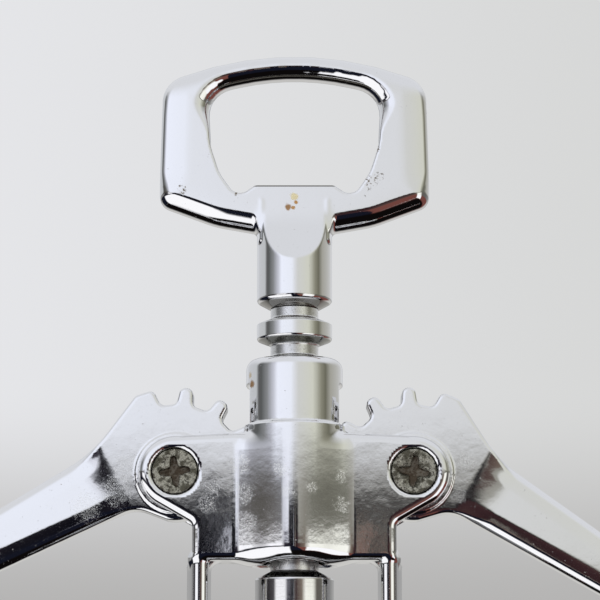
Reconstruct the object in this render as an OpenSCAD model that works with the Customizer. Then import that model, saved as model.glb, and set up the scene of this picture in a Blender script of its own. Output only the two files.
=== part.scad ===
// Lever corkscrew with a crown cap opener for its handle.
// It stands upright: Z runs up the spindle, the front looks towards -Y, and the origin is the
// centre of the bell's lower rim. Each lever carries a toothed sector that rolls on the rings
// of the spindle, so the levers rise as the worm goes down and pull it out when pressed down.

/* [Layout] */
// Height of the lever pivots above the bell's rim
pivot_height = 90; // [84:0.5:98]
// How far a loose mesh lets each lever rest from its middle position, in degrees
lever_play = 2.2; // [0:0.1:2.2]

/* [Spindle rings] */
// Distance from one ring to the next
ring_pitch = 6.76; // [6.5:0.02:7]
// Number of grooves between the rings
groove_count = 7; // [5:1:7]
// Outer radius of the rings
ring_r = 6.6; // [6.3:0.05:6.9]
// Radius at the floor of a groove
groove_r = 4.2; // [3.9:0.05:4.4]
// Half width of a groove at the outer radius
groove_half_top = 2.0; // [1.9:0.02:2.1]
// Half width of a groove at its floor
groove_half_floor = 1.05; // [0.8:0.05:1.3]
// Height of the meshed groove above the pivots at rest
mesh_rise = 1.43; // [0.8:0.05:2]
// Which groove, counted from the top, is in mesh at rest
mesh_groove = 4; // [3:1:4]
// Length of the plain neck below the last groove
neck_below = 3.75; // [3:0.25:5]

/* [Lever teeth] */
// Rolling radius of the toothed sector
gear_roll_r = 14.62; // [14.4:0.02:15]
// Depth of the mesh between the rolling line and the outside of the rings
mesh_depth = 0.57; // [0.4:0.02:0.7]
// Height of a tooth above the rolling radius
tooth_above = 0.48; // [0.3:0.02:0.6]
// Height of a whole tooth
tooth_height = 3.05; // [2.7:0.05:3.2]
// Width of a tooth at its tip
tooth_tip_w = 2.2; // [2.1:0.05:2.25]
// Width of a tooth at its foot
tooth_foot_w = 2.9; // [2.7:0.05:3]
// Radius that rounds a tooth's tip on each side
tooth_tip_round = 1.1; // [0.9:0.05:1.1]
// Radius of the hollow on each side of a tooth's foot
tooth_foot_round = 1.2; // [0.9:0.05:1.25]
// Number of teeth on a lever
tooth_count = 7; // [5:1:7]
// Angle from a lever's arm to the tooth in mesh at rest
mesh_tooth_angle = 204.65; // [200:0.5:210]

/* [Levers] */
// Thickness of a lever
lever_t = 5; // [4.4:0.1:5.2]
// Radius of the edge rounding on an arm
arm_edge = 1.5; // [0.8:0.1:1.8]
// Reach of an arm from its pivot to its tip
arm_reach = 84.5; // [78:0.5:85.5]
// Width of the paddle at the arm's tip
paddle_w = 12.4; // [11:0.2:14]
// Radius of the hub around the pivot
hub_r = 8.2; // [7.6:0.1:8.6]
// Radius of the raised boss on each face
boss_r = 7.2; // [6.6:0.1:7.6]
// Height of the raised boss
boss_h = 0.25; // [0.1:0.05:0.3]

/* [Frame] */
// Thickness of the bridge plate and its ears
plate_t = 11.4; // [11:0.1:12.4]
// Radius of an ear around its pivot
ear_r = 6.2; // [5.8:0.1:6.8]
// Radius of the rounding on the plate's edges
plate_edge = 1.1; // [0.6:0.1:1.4]
// Radius of the rounding along the bridge's lower edge
window_edge = 2.0; // [1:0.1:2.4]
// Radius of the window's upper corners
window_corner_r = 1.8; // [1:0.1:3]
// Height of the bridge's top edge above the pivots
bridge_top = 6.7; // [6.3:0.1:7.2]
// Depth of the bridge's lower edge below the pivots
bridge_bottom = 15.3; // [15:0.1:16.5]
// Outer radius of the neck that guides the spindle
neck_r = 8.45; // [8.2:0.05:8.8]
// Height of the neck above the pivots
neck_top = 20.2; // [19:0.1:22]
// Radius of the swelling where the neck runs through the bridge
swell_r = 9.3; // [8.9:0.1:9.8]
// Radius of the hollow blend from the swelling to the plate
swell_blend = 4; // [2:0.5:5]
// Top of the swelling above the pivots
swell_top = 8.4; // [7.8:0.2:9]
// Top of the lever slot in the neck above the pivots
slot_top = 15.3; // [11:0.1:16]

/* [Legs and bell] */
// Half distance between the legs at their inner edges
leg_inner = 14.5; // [14.2:0.1:15]
// Width of a leg from its inner to its outer edge
leg_w = 4.1; // [3.6:0.1:4.1]
// Depth of a leg from front to back
leg_depth = 11; // [10:0.2:11.2]
// Outer radius of the bell
bell_r = 18.9; // [18.4:0.1:19.2]
// Inner radius of the bell's mouth
mouth_r = 15.2; // [14.6:0.1:15.6]
// Depth of the bell's mouth up to its ledge
mouth_depth = 15; // [12:0.5:17]
// Overall height of the bell
bell_h = 24; // [22:0.5:28]
// Radius of the hole in the bell's crown
crown_hole_r = 9.5; // [8:0.25:11]

/* [Handle] */
// Thickness of the cap opener plate
handle_t = 6.6; // [6:0.1:7]
// Radius of the edge rounding on the opener plate
handle_edge = 2.0; // [1:0.1:2.4]
// Half width of the opener plate
handle_half_w = 24; // [22.5:0.25:25]
// Height of the opener plate's top above the pivots
handle_top = 75.3; // [73:0.1:78]
// Height of the opener plate's lower corners above the pivots
handle_foot = 47.9; // [47:0.1:48.5]
// Height of the straight lip of the cap mouth above the pivots
mouth_lip = 51.1; // [50.6:0.1:51.6]
// Height of the cap mouth's top above the pivots
cap_mouth_top = 71; // [69.5:0.25:71.5]
// Half width of the cap mouth
cap_mouth_half_w = 15.4; // [14.6:0.1:16]
// Half width of the tongue that joins the opener plate to the stem
tongue_half_w = 6.2; // [5.5:0.1:6.3]
// Lower end of the tongue above the pivots
tongue_bottom = 41; // [40:0.25:42]
// Lower end of the stem's full diameter above the pivots
stem_bottom = 30.5; // [30.4:0.05:31]
// Radius of the hollow sweep from the stem to the plate
stem_sweep_r = 10; // [7:0.5:12]
// Height above the pivots where the hollow sweep meets the plate
sweep_top = 45.9; // [45:0.1:47]

/* [Rod, holder and worm] */
// Radius of the steel rod that ties handle, rings and holder together
rod_r = 2.6; // [2.2:0.1:3]
// Depth the rod reaches into the handle's stem
rod_in_stem = 9; // [6:0.5:14]
// Depth the rod reaches into the worm's holder
rod_in_holder = 7; // [5:0.5:8]
// Radius of the worm's holder
holder_r = 6.84; // [6:0.02:6.88]
// Length of the worm's holder
holder_l = 13.1; // [11:0.1:16]
// Height of the cone on top of the holder
holder_cone = 1.3; // [0.8:0.1:2]
// Radius of the worm's wire
wire_r = 1.45; // [1.2:0.05:1.6]
// Outer radius of the worm
worm_r = 4.45; // [4.0:0.05:5]
// Rise of one turn of the worm
worm_pitch = 9; // [8:0.25:10]
// Height of the worm's point above the bell's rim at rest
point_height = 4; // [2:0.5:12]
// Length over which the worm's wire tapers to its point
point_taper = 7.2; // [5:0.2:9]
// Radius of the wire at the very point
point_r = 0.09; // [0.05:0.01:0.2]
// Length of straight wire below the holder
shank_below = 0.6; // [0.3:0.1:1.5]
// Between the end of the wire and the end of the rod, inside the holder
holder_web = 0.8; // [0.6:0.1:1]

/* [Pivots] */
// Radius of a pivot bush
bush_r = 2.9; // [2.6:0.05:3.2]
// Radius of a screw or bush head
head_r = 3.9; // [3.6:0.05:4]
// Thickness of a screw or bush head
head_t = 1.6; // [1.2:0.1:1.7]
// Depth of a head's face below the ear's face
head_sunk = 0.3; // [0.1:0.05:0.5]
// Radius of a screw's shank
shank_r = 1.9; // [1.5:0.05:2]
// How far the cross in the left screw leans, in degrees
left_cross = -7; // [-45:1:45]
// How far the cross in the right screw leans, in degrees
right_cross = 8; // [-45:1:45]

/* [Clearances] */
// Between the spindle and the neck's bore
bore_gap = 0.4; // [0.3:0.05:0.5]
// Between the turning rod and the rings around it
rod_gap = 0.05; // [0.03:0.01:0.1]
// Between a lever and its bush
pivot_gap = 0.06; // [0.03:0.01:0.1]
// Between parts that are fitted and don't move
seat_gap = 0.03; // [0.02:0.01:0.05]
// Between the end faces of parts that turn on each other
end_gap = 0.1; // [0.05:0.05:0.2]
// Beside a lever in its slot
slot_gap = 0.2; // [0.15:0.05:0.3]
// Beyond the teeth in their slot
tip_gap = 0.8; // [0.5:0.1:0.9]
// Around a head in its counterbore
head_gap = 0.2; // [0.1:0.05:0.3]

/* [Hidden] */

$fn = 96;
arc_steps = 6;
edge_steps = 4;
over = 1;

pivot_x = ring_r - mesh_depth + gear_roll_r;
tooth_step = ring_pitch / gear_roll_r * 180 / PI;
mesh_angle = mesh_rise / gear_roll_r * 180 / PI;
arm_droop = mesh_tooth_angle - 180 + mesh_angle;
tip_r = gear_roll_r + tooth_above;
root_r = tip_r - tooth_height;
slot_half = lever_t / 2 + boss_h + slot_gap;
slot_r = tip_r + tip_gap;
bore_r = ring_r + bore_gap;

rings_top = mesh_rise + mesh_groove * ring_pitch + groove_half_floor - 0.2;
rings_bottom = mesh_rise - (groove_count - 1 - mesh_groove) * ring_pitch
               - groove_half_floor - neck_below;
rod_top = rings_top + rod_in_stem;
holder_top = rings_bottom - end_gap;
holder_bottom = holder_top - holder_l;

head_floor = plate_t / 2 - head_sunk - head_t;

chrome = [0.78, 0.79, 0.80];
steel = [0.55, 0.54, 0.50];

// ---- Outlines -------------------------------------------------------------------------------
// A corner is [across, up, radius, edge]: its own radius in the outline, and the radius that
// rounds the plate's front and back edges there. Outlines run anticlockwise.

function unit(v) = v / norm(v);
function at(c) = [c[0], c[1]];
function cross2(a, b) = a[0] * b[1] - a[1] * b[0];
function with_edge(corners, edge) = [for (c = corners) [c[0], c[1], c[2], edge]];
function mirrored(corners) =
    [for (i = [len(corners) - 1 : -1 : 0]) [-corners[i][0], corners[i][1], corners[i][2], corners[i][3]]];

// Arc points that round one corner between its neighbours
function corner_arc(before, c, after) =
    let (a = unit(at(before) - at(c)),
         b = unit(at(after) - at(c)),
         half = acos(a * b) / 2,
         reach = c[2] / tan(half),
         centre = at(c) + unit(a + b) * c[2] / sin(half),
         start = at(c) + a * reach - centre,
         finish = at(c) + b * reach - centre,
         swing = 180 - 2 * half)
    [for (i = [0 : arc_steps])
        centre + (sin(swing * (1 - i / arc_steps)) * start + sin(swing * i / arc_steps) * finish)
                 / sin(swing)];

// The outline's points, each as [across, up, edge]
function rounded(corners) =
    let (n = len(corners))
    [for (i = [0 : n - 1])
        let (c = corners[i])
        each c[2] > 0
            ? [for (p = corner_arc(corners[(i + n - 1) % n], c, corners[(i + 1) % n]))
                [p[0], p[1], c[3]]]
            : [[c[0], c[1], c[3]]]];

// The same outline drawn in by a share of each corner's edge
function drawn_in(corners, share) =
    let (n = len(corners))
    [for (i = [0 : n - 1])
        let (c = corners[i],
             by = share * c[3],
             d1 = unit(at(c) - at(corners[(i + n - 1) % n])),
             d2 = unit(at(corners[(i + 1) % n]) - at(c)),
             n1 = [-d1[1], d1[0]],
             n2 = [-d2[1], d2[0]],
             moved = at(c) + (n1 + n2) * by / (1 + n1 * n2),
             turn = cross2(d1, d2) > 0 ? -by : by)
        [moved[0], moved[1], c[2] > 0 ? max(c[2] + turn, 0.2) : 0, c[3]]];

// The triangles and the one polygon that close a face: points within reach of the hub fan out
// from it, so that a boss there crosses few edges, and the rest is left whole
function hub_face(ring, hub, reach, first, middle) =
    let (n = len(ring),
         far = [for (p = ring) norm([p[0], p[2]] - hub) > reach],
         rest = [for (i = [0 : n - 1]) if (far[i] || far[(i + 1) % n] || far[(i + n - 1) % n]) i])
    concat(
        [[for (i = rest) first + i]],
        [for (i = [0 : n - 1]) if (!far[i] && !far[(i + 1) % n]) [first + i, first + (i + 1) % n, middle]],
        [[first + rest[0], first + rest[len(rest) - 1], middle]]);

function backwards(v) = [for (i = [len(v) - 1 : -1 : 0]) v[i]];

// A plate standing in the XZ plane, with quarter-round edges front and back. With a hub, its
// faces fan out from there.
module soft_plate(corners, thick, hub = [], reach = 0) {
    rings = [for (side = [-1, 1], k = [0 : edge_steps])
        let (a = side < 0 ? 90 - 90 * k / edge_steps : 90 * k / edge_steps)
        [for (p = rounded(drawn_in(corners, 1 - cos(a))))
            [p[0], side * (thick / 2 - p[2] * (1 - sin(a))), p[1]]]];
    n = len(rings[0]);
    m = len(rings);
    last = (m - 1) * n;
    hubs = reach > 0 ? [for (side = [-1, 1]) [hub[0], side * thick / 2, hub[1]]] : [];
    front = reach > 0 ? hub_face(rings[0], hub, reach, 0, m * n) : [[for (i = [0 : n - 1]) i]];
    back = reach > 0 ? hub_face(rings[m - 1], hub, reach, last, m * n + 1)
                     : [[for (i = [0 : n - 1]) last + i]];
    polyhedron(
        points = concat([for (r = rings) each r], hubs),
        faces = concat(
            [for (k = [0 : m - 2], i = [0 : n - 1])
                [k * n + i, k * n + (i + 1) % n, (k + 1) * n + (i + 1) % n, (k + 1) * n + i]],
            [for (f = front) backwards(f)],
            back));
}

module front_extrude(thick) {
    rotate([90, 0, 0]) linear_extrude(thick, center = true) children();
}

module front_cylinder(r, y0, y1) {
    translate([0, y1, 0]) rotate([90, 0, 0]) cylinder(h = y1 - y0, r = r);
}

module at_pivot(side) {
    translate([side * pivot_x, 0, pivot_height]) children();
}

module at_pivot_line() {
    translate([0, 0, pivot_height]) children();
}

// ---- Frame ----------------------------------------------------------------------------------

// Bridge, ears and shoulders; the slanted lower edge touches the ear's circle
slant = 30;
shoulder_x = leg_inner + leg_w - 1;
ear_touch = [pivot_x + ear_r * sin(slant), -ear_r * cos(slant)];
slant_end = ear_touch[1] - (ear_touch[0] - shoulder_x) * tan(slant);
bridge_half = concat(
    [[shoulder_x, -bridge_bottom, 0, window_edge], [shoulder_x, slant_end, 1.2, plate_edge]],
    [for (a = [slant - 90 : 12 : 90])
        [pivot_x + ear_r * cos(a), ear_r * sin(a), 0, plate_edge]],
    [[neck_r + 1.6, bridge_top, 0, plate_edge]]);

module bridge_plate() {
    soft_plate(concat(bridge_half, mirrored(bridge_half)), plate_t);
}

// The window's rounded upper corners
module window_corner(side) {
    r = window_corner_r;
    mirror([side < 0 ? 1 : 0, 0, 0]) translate([leg_inner, 0, -bridge_bottom])
        front_extrude(2 * slot_half) polygon(concat(
            [[1, 1], [-r, 1]],
            [for (a = [90 : -15 : 0]) [-r + r * cos(a), -r + r * sin(a)]],
            [[1, -r]]));
}

// Hollow blends between the swelling and the plate's faces, each bitten a little into both
module swell_blends() {
    bite = 0.06;
    low = -bridge_bottom + 1.1;
    blend_y = plate_t / 2 + swell_blend - bite;
    blend_x = sqrt(pow(swell_r + swell_blend - bite, 2) - blend_y * blend_y);
    touch = atan2(blend_y, blend_x);
    hollow = [for (i = [0 : 6])
        let (a = 180 + touch + (90 - touch) * i / 6)
        [blend_x + swell_blend * cos(a), blend_y + swell_blend * sin(a)]];
    for (sx = [0, 1], sy = [0, 1]) mirror([sx, 0, 0]) mirror([0, sy, 0])
        translate([0, 0, low]) linear_extrude(bridge_top - plate_edge - low)
            polygon(concat(hollow, [[blend_x, slot_half + 1], [bore_r, slot_half + 1]]));
}

module neck() {
    lip = 1.9;
    low = -bridge_bottom + 0.8;
    rotate_extrude() polygon(concat(
        [[0, low], [swell_r, low], [swell_r, swell_top], [neck_r, swell_top + 1.3]],
        [for (a = [0 : 10 : 90]) [neck_r - lip + lip * cos(a), neck_top - lip + lip * sin(a)]],
        [[0, neck_top]]));
}

module leg(side) {
    ridge = leg_inner + 0.57 * leg_w;
    d = leg_depth / 2;
    into_bell = 8;
    into_bridge = 5;
    half = [[leg_inner, 0], [leg_inner + 0.9, -d * 0.55], [ridge - 0.45, -d * 0.95], [ridge, -d],
            [ridge + 0.45, -d * 0.95], [leg_inner + leg_w - 1, -d * 0.55], [leg_inner + leg_w, 0]];
    mirror([side < 0 ? 1 : 0, 0, 0]) translate([0, 0, bell_h - into_bell])
        linear_extrude(pivot_height - bridge_bottom + into_bridge - bell_h + into_bell)
            polygon(concat(half, [for (i = [len(half) - 2 : -1 : 1]) [half[i][0], -half[i][1]]]));
}

module bell() {
    wall_r = bell_r - 0.6;
    dome_r = 7;
    rotate_extrude() polygon(concat(
        [[mouth_r + 0.5, 0], [wall_r, 0], [bell_r, 0.6], [bell_r, 4.4], [wall_r, 5.2],
         [wall_r, bell_h - dome_r]],
        [for (a = [10 : 10 : 80])
            [wall_r - dome_r + dome_r * cos(a), bell_h - dome_r + dome_r * sin(a)]],
        [[crown_hole_r + 0.6, bell_h], [crown_hole_r, bell_h - 0.6],
         [crown_hole_r, mouth_depth + 2.5], [mouth_r - 2.5, mouth_depth + 1.5],
         [mouth_r, mouth_depth], [mouth_r, 0.5]]));
}

// The slot that a lever swings in: round the teeth, open outwards, and up the neck's side
module lever_slot(side) {
    at_pivot_line() mirror([side < 0 ? 1 : 0, 0, 0]) front_extrude(2 * slot_half) {
        translate([pivot_x, 0]) circle(slot_r);
        translate([pivot_x, -slot_r]) square([2 * slot_r, 2 * slot_r]);
        translate([1, 0]) square([pivot_x, slot_top]);
    }
}

module pivot_hole(side) {
    at_pivot(side) {
        front_cylinder(bush_r + seat_gap, -plate_t, plate_t);
        front_cylinder(head_r + head_gap, -plate_t, -head_floor + seat_gap);
        front_cylinder(head_r + head_gap, head_floor - seat_gap, plate_t);
    }
}

module frame() {
    color(chrome) difference() {
        union() {
            at_pivot_line() {
                bridge_plate();
                neck();
                swell_blends();
                for (side = [-1, 1]) window_corner(side);
            }
            for (side = [-1, 1]) leg(side);
            bell();
        }
        translate([0, 0, bell_h + over])
            cylinder(h = pivot_height + neck_top, r = bore_r);
        for (side = [-1, 1]) {
            lever_slot(side);
            pivot_hole(side);
        }
    }
}

// ---- Handle ---------------------------------------------------------------------------------

handle_half = [
    [tongue_half_w, tongue_bottom, 0],
    [tongue_half_w, tongue_bottom + 1.8, 0.6],
    [14, handle_foot - 3.7, 20],
    [handle_half_w, handle_foot, 2.4],
    [handle_half_w - 0.55, handle_top - 5.1, 3]];

module handle_plate() {
    top = [[0, handle_top + 4, 56]];
    soft_plate(with_edge(concat(handle_half, top, mirrored(handle_half)), handle_edge), handle_t);
}

module cap_mouth() {
    w = cap_mouth_half_w;
    half = [[7, mouth_lip, 1.4], [10.2, mouth_lip - 2.2, 1.2], [w - 2.1, mouth_lip + 2.3, 8],
            [w - 0.4, mouth_lip + 7.6, 12], [w, cap_mouth_top - 2.4, 5]];
    front_extrude(handle_t + over)
        polygon([for (p = rounded(concat(half, [[0, cap_mouth_top + 1.1, 44]], mirrored(half))))
            [p[0], p[1]]]);
}

module stem() {
    difference() {
        rotate_extrude() polygon([
            [0, rings_top], [groove_r + 0.3, rings_top], [ring_r - 0.25, stem_bottom - 0.25],
            [ring_r, stem_bottom], [ring_r, mouth_lip - 2.6], [0, mouth_lip - 2.6]]);
        for (front = [-1, 1]) {
            translate([0, front * (handle_t / 2 + stem_sweep_r), sweep_top])
                rotate([0, 90, 0]) cylinder(h = 3 * ring_r, r = stem_sweep_r, center = true);
            translate([-ring_r - over, front > 0 ? handle_t / 2 : -handle_t / 2 - ring_r, sweep_top])
                cube([2 * ring_r + 2 * over, ring_r, 10]);
        }
    }
}

module handle() {
    color(chrome) at_pivot_line() difference() {
        union() {
            handle_plate();
            stem();
        }
        cap_mouth();
        translate([0, 0, rings_top - over])
            cylinder(h = rod_top - rings_top + over + end_gap, r = rod_r + seat_gap);
    }
}

// ---- Spindle --------------------------------------------------------------------------------

ring_corner = 0.15;
// Half of a groove's wall, from the ring's corner down to the floor, as [radius, half width]
groove_wall = [
    [ring_r - 0.12, groove_half_top - 0.06],
    [ring_r - 0.5, groove_half_top - 0.3],
    [groove_r + 0.3, groove_half_floor + 0.1],
    [groove_r, groove_half_floor - 0.3]];

// One groove after another from the top, then the plain neck
function ring_profile() = concat(
    [[groove_r, rings_top - end_gap]],
    [for (k = [0 : groove_count - 1])
        let (z = mesh_rise + (mesh_groove - k) * ring_pitch)
        each concat(
            k == 0 ? [] : [for (p = groove_wall) [p[0], z + p[1]]],
            k == groove_count - 1 ? [] : concat(
                [for (i = [len(groove_wall) - 1 : -1 : 0])
                    [groove_wall[i][0], z - groove_wall[i][1]]],
                [[ring_r, z - groove_half_top - ring_corner],
                 [ring_r, z - ring_pitch + groove_half_top + ring_corner]]))],
    [[groove_r, rings_bottom], [rod_r + rod_gap, rings_bottom],
     [rod_r + rod_gap, rings_top - end_gap]]);

module spindle_rings() {
    color(chrome) at_pivot_line() rotate_extrude() polygon(ring_profile());
}

module core_rod() {
    color(steel) at_pivot_line() translate([0, 0, holder_top - rod_in_holder])
        cylinder(h = rod_top - holder_top + rod_in_holder, r = rod_r);
}

module worm_holder() {
    corner = 2;
    color(chrome) at_pivot_line() difference() {
        rotate_extrude() polygon(concat(
            [[0, holder_bottom], [holder_r - corner, holder_bottom]],
            [for (a = [-80 : 20 : 0])
                [holder_r - corner + corner * cos(a), holder_bottom + corner + corner * sin(a)]],
            [[holder_r, holder_top - holder_cone], [groove_r, holder_top], [0, holder_top]]));
        translate([0, 0, holder_top - rod_in_holder - end_gap])
            cylinder(h = rod_in_holder + over, r = rod_r + seat_gap);
        translate([0, 0, holder_bottom - over])
            cylinder(h = worm_top + end_gap - holder_bottom + over, r = wire_r + seat_gap);
    }
}

// ---- Worm -----------------------------------------------------------------------------------

worm_top = holder_top - rod_in_holder - holder_web;
worm_point = point_height - pivot_height;
coil_top = holder_bottom - shank_below;
coil_r = worm_r - wire_r;
coil_turns = (coil_top - worm_point) / worm_pitch;
worm_steps = 16;

// Middle line of the wire: a straight shank, then a coil that opens out over its first turn
function worm_place(t) =
    let (open = min(t / 0.6, 1))
    [coil_r * open * cos(360 * t), coil_r * open * sin(360 * t), coil_top - worm_pitch * t];
function worm_wire(t) = min(wire_r, point_r + wire_r * worm_pitch * (coil_turns - t) / point_taper);

module worm() {
    sides = 10;
    path = concat(
        [[0, 0, worm_top, wire_r], [0, 0, coil_top + shank_below / 3, wire_r]],
        [for (i = [1 : ceil(coil_turns * worm_steps)])
            let (t = min(i / worm_steps, coil_turns), p = worm_place(t))
            [p[0], p[1], p[2], worm_wire(t)]]);
    n = len(path);
    function here(i) = [path[i][0], path[i][1], path[i][2]];
    ring_points = [for (i = [0 : n - 1])
        let (ahead = unit(here(min(i + 1, n - 1)) - here(max(i - 1, 0))),
             out = i < 3 ? [1, 0, 0] : unit([path[i][0], path[i][1], 0]),
             side = unit(cross(ahead, out)),
             up = cross(side, ahead))
        for (s = [0 : sides - 1])
            here(i) + path[i][3] * (cos(360 * s / sides) * up + sin(360 * s / sides) * side)];
    color(steel) at_pivot_line() polyhedron(
        points = ring_points,
        faces = concat(
            [[for (s = [0 : sides - 1]) s]],
            [for (i = [0 : n - 2], s = [0 : sides - 1])
                [i * sides + s, (i + 1) * sides + s, (i + 1) * sides + (s + 1) % sides,
                 i * sides + (s + 1) % sides]],
            [[for (s = [sides - 1 : -1 : 0]) (n - 1) * sides + s]]));
}

// ---- Levers ---------------------------------------------------------------------------------
// Drawn with the pivot at the centre and the arm running along +X.

first_tooth = mesh_tooth_angle - mesh_groove * tooth_step;

function around(r, a) = [r * cos(a), r * sin(a)];

tooth_edge_r = 0.45;
// A tooth's corners as [outwards, along the rim, radius]; the first tooth has no near foot
tooth = [
    [root_r, -tooth_foot_w / 2, tooth_foot_round],
    [tip_r, -tooth_tip_w / 2, tooth_tip_round],
    [tip_r, tooth_tip_w / 2, tooth_tip_round],
    [root_r, tooth_foot_w / 2, tooth_foot_round]];
sector = [for (k = [0 : tooth_count - 1], i = [k > 0 ? 0 : 2 : 3])
    let (c = tooth[i], a = first_tooth + k * tooth_step)
    [c[0] * cos(a) - c[1] * sin(a), c[0] * sin(a) + c[1] * cos(a), c[2], tooth_edge_r]];
past_teeth = 17;
hub_start = first_tooth + (tooth_count - 1) * tooth_step + past_teeth;
hub_arc = [for (a = [hub_start : (308 - hub_start) / 4 : 308.1])
    let (p = around(hub_r, a)) [p[0], p[1], 0, 0.8]];
shoulder_out = around(tip_r + 0.25, 90.5);
arm = [
    [9.0, -1.9, 5.5],
    [44, -0.1, 90],
    [arm_reach, -0.9, 5.6],
    [arm_reach, paddle_w - 0.9, 5.6],
    [62, 9.5, 60],
    [36, 8.7, 60],
    [10.8, 10.2, 20]];
lever_outline = concat(
    hub_arc,
    with_edge(arm, arm_edge),
    [[shoulder_out[0], shoulder_out[1], 1.2, 0.8]],
    sector);

// The sector's corners, which the faces fan out to, lie within this reach of the hub's middle
hub_middle = [0.4, 1.6];
hub_reach = tip_r + 2.5;

module lever() {
    boss_face = lever_t / 2 + boss_h;
    boss_sunk = 0.3;
    difference() {
        union() {
            soft_plate(lever_outline, lever_t, hub_middle, hub_reach);
            rotate([90, 0, 0]) rotate_extrude() polygon([
                [0, -boss_face], [boss_r - boss_h, -boss_face],
                [boss_r + boss_sunk, boss_sunk - lever_t / 2],
                [boss_r + boss_sunk, lever_t / 2 - boss_sunk],
                [boss_r - boss_h, boss_face], [0, boss_face]]);
        }
        front_cylinder(bush_r + pivot_gap, -lever_t, lever_t);
    }
}

// The right lever as drawn, and its mirror image on the left; each leans by the mesh's play
module right_lever() {
    color(chrome) at_pivot(1) rotate([0, arm_droop + lever_play, 0]) lever();
}

module left_lever() {
    color(chrome) at_pivot(-1) mirror([1, 0, 0]) rotate([0, arm_droop - lever_play, 0]) lever();
}

// ---- Pivots ---------------------------------------------------------------------------------

module pivot_screw(side) {
    cross_w = 1.2;
    cross_l = 5.2;
    cross_d = 1.1;
    color(steel) at_pivot(side) difference() {
        union() {
            front_cylinder(head_r, -head_floor - head_t, -head_floor);
            front_cylinder(shank_r, -head_floor - head_t / 2, head_floor - 1);
        }
        for (a = [0, 90]) rotate([0, a + (side > 0 ? right_cross : left_cross), 0])
            translate([-cross_l / 2, -head_floor - head_t - over, -cross_w / 2])
                cube([cross_l, cross_d + over, cross_w]);
    }
}

module pivot_bush(side) {
    color(steel) at_pivot(side) difference() {
        union() {
            front_cylinder(head_r, head_floor, head_floor + head_t);
            front_cylinder(bush_r, -head_floor + end_gap, head_floor + head_t / 2);
        }
        front_cylinder(shank_r + seat_gap, -head_floor - over, head_floor - 0.6);
    }
}

frame();
handle();
spindle_rings();
core_rod();
worm_holder();
worm();
left_lever();
right_lever();
pivot_screw(-1);  // left_pivot_screw
pivot_screw(1);  // right_pivot_screw
pivot_bush(-1);  // left_pivot_bush
pivot_bush(1);  // right_pivot_bush
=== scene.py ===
# %% [markdown]
# # A lever corkscrew, cast, turned and chromed
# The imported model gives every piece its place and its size. This lesson gives the pieces the
# soft edges of castings, the sharp rings of a lathe, and a chrome plating that years of use
# have worn. Lengths are in millimetres until a mesh is made, and in metres after that.

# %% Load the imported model
import math

import bmesh
import bpy
import numpy as np
from mathutils import Matrix, Vector


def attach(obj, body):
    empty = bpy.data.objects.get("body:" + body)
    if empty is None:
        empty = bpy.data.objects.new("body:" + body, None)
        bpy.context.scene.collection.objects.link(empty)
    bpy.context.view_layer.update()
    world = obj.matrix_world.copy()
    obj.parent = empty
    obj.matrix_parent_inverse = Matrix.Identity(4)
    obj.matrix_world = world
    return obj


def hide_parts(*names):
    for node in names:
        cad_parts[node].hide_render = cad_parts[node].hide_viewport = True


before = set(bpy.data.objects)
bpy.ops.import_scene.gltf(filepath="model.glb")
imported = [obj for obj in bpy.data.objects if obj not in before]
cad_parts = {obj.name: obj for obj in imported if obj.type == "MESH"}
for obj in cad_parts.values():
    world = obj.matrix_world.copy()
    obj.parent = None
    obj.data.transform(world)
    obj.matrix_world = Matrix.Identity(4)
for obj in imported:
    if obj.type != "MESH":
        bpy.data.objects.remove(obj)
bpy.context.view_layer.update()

print("pieces in the packed model:", sorted(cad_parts))

# %% [markdown]
# ## Sizes
# The pivots of the two levers are the reference for everything: heights are counted from
# them, as on the maker's drawing. The rest pose has the fourth groove of the spindle in mesh.

# %% Sizes shared by several pieces
PIVOT_H = 90.0
PIVOT_X = 20.65
MM = 0.001
LEVER_T = 5.0
BOSS_R = 7.0
BOSS_H = 0.25
SLOT_HALF = LEVER_T / 2 + BOSS_H + 0.2
TIP_R = 15.1
BORE_R = 7.0
NECK_TOP = 20.2
RING_R = 6.6
GROOVE_R = 4.2

# %% [markdown]
# ## Castings as distance fields
# A casting has no sharp edge: every corner of the mould is rounded, and where two forms meet
# there is a fillet. A distance field gives both for free. The field is a function that says
# how far a point lies outside the metal, and two fields are joined or cut with a rounding of
# any radius. A skin is then laid where the field is zero.

# %% Joining and cutting with a rounding
def join(a, b, r):
    """Both bodies, with a hollow fillet of radius r between them."""
    u, v = np.maximum(r - a, 0), np.maximum(r - b, 0)
    return np.maximum(r, np.minimum(a, b)) - np.sqrt(u * u + v * v)


def common(a, b, r):
    """What two bodies share, with an edge rounded to radius r."""
    u, v = np.maximum(r + a, 0), np.maximum(r + b, 0)
    return np.minimum(-r, np.maximum(a, b)) + np.sqrt(u * u + v * v)


def cut(a, b, r):
    """The first body less the second, with an edge rounded to radius r."""
    return common(a, -b, r)


def ease(x, low, high):
    """0 below low, 1 above high, and a smooth ramp between."""
    t = np.clip((x - low) / (high - low), 0, 1)
    return t * t * (3 - 2 * t)


# %% Outlines in the plane of the plate
def outline_distance(x, z, corners):
    """Distance to a closed outline in the plane of the plate, negative inside."""
    best, inside = np.inf, False
    for (ax, az), (bx, bz) in zip(corners, np.roll(corners, -1, axis=0)):
        ex, ez = bx - ax, bz - az
        wx, wz = x - ax, z - az
        t = np.clip((wx * ex + wz * ez) / (ex * ex + ez * ez), 0, 1)
        best = np.minimum(best, (wx - ex * t) ** 2 + (wz - ez * t) ** 2)
        if ez:
            inside = inside ^ (((az > z) != (bz > z)) & (wx < ex * wz / ez))
    return np.where(inside, -1, 1) * np.sqrt(best)


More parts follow.
